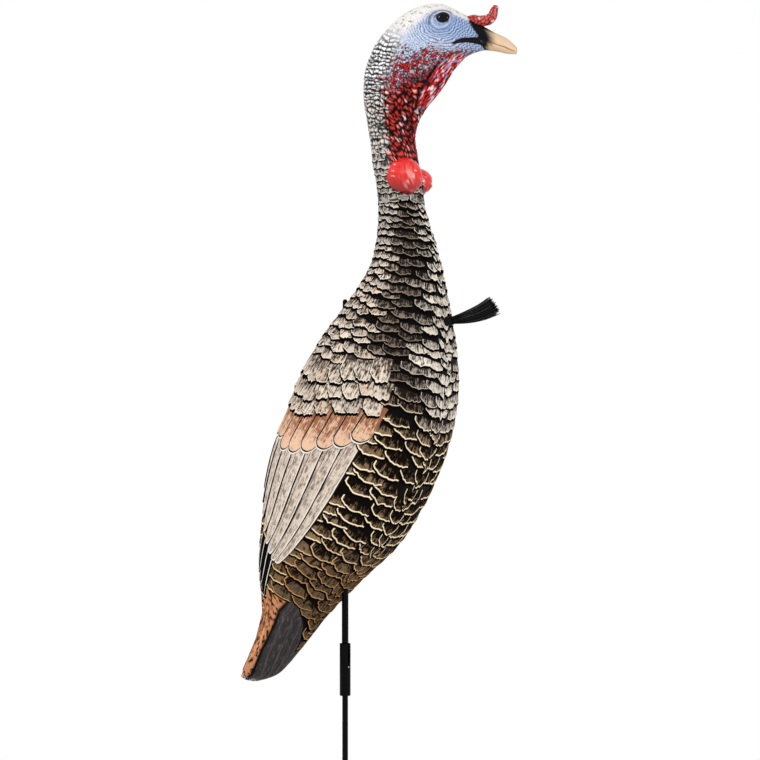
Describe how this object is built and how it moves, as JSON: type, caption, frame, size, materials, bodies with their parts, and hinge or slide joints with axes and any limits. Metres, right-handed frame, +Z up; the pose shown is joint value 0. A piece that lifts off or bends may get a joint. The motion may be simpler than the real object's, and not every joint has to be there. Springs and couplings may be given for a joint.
{
  "type": "turkey decoy",
  "caption": "Upright standing jake turkey decoy, a hollow moulded bird that turns on a pin at the top of a two-piece ground stake, with a plug-in head and beard.",
  "frame": {"origin": "on the stake's axis at ground level, which is the underside of the foot step", "axes": "+Z up the stake, +X the way the bird looks, +Y the bird's left side"},
  "size_m": [0.351, 0.1976, 1.1565],
  "materials": {
    "feather_skin": "painted moulded feather relief, satin",
    "head_skin": "painted moulded skin, satin",
    "red_skin": "glossy red paint",
    "eye": "gloss black with a clear coat",
    "bristle": "black bristle",
    "black_plastic": "black moulded plastic",
    "black_rubber": "black rubber",
    "black_rod": "satin black powder coat",
    "steel": "plain zinc-plated steel"
  },
  "bodies": {
    "lower_stake": {"lower_rod": "black_rod", "ground_point": "steel", "foot_step": "black_rod", "step_screw": "steel", "ferrule": "black_plastic"},
    "upper_stake": {"upper_rod": "black_rod", "pivot_pin": "black_rod", "cross_pin": "steel"},
    "pivot_washer": {"thrust_washer": "steel"},
    "decoy_body": {"body_shell": "feather_skin", "guide_tube": "black_plastic", "pivot_bush": "black_plastic", "belly_grommet": "black_rubber", "neck_socket": "black_plastic", "beard_socket": "black_plastic"},
    "neck_ring": {"plug_seal": "black_rubber"},
    "head": {"head_shell": "head_skin", "neck_plug": "black_plastic", "eye_left": "eye", "eye_right": "eye", "snood": "red_skin", "caruncle_left": "red_skin", "caruncle_right": "red_skin"},
    "beard": {"beard_collar": "black_rubber", "beard": "bristle"}
  },
  "joints": [
    {"name": "stake_pull", "type": "slide", "parent": "lower_stake", "child": "upper_stake", "axis": [0, 0, 1], "range_m": [0, 0.05]},
    {"name": "body_turn", "type": "hinge", "parent": "upper_stake", "child": "pivot_washer", "pos_m": [0, 0, 0.589], "axis": [0, 0, 1], "continuous": true},
    {"name": "body_lift", "type": "slide", "parent": "pivot_washer", "child": "decoy_body", "axis": [0, 0, 1], "range_m": [0, 0.37]},
    {"name": "head_pull", "type": "slide", "parent": "decoy_body", "child": "neck_ring", "axis": [0, 0, 1], "range_m": [0, 0.045]},
    {"name": "head_turn", "type": "hinge", "parent": "neck_ring", "child": "head", "pos_m": [0.0725, 0, 0.77], "axis": [0, 0, 1], "range_deg": [-60, 60]},
    {"name": "beard_pull", "type": "slide", "parent": "decoy_body", "child": "beard", "axis": [0.9848, 0, 0.1736], "range_m": [0, 0.025]}
  ]
}
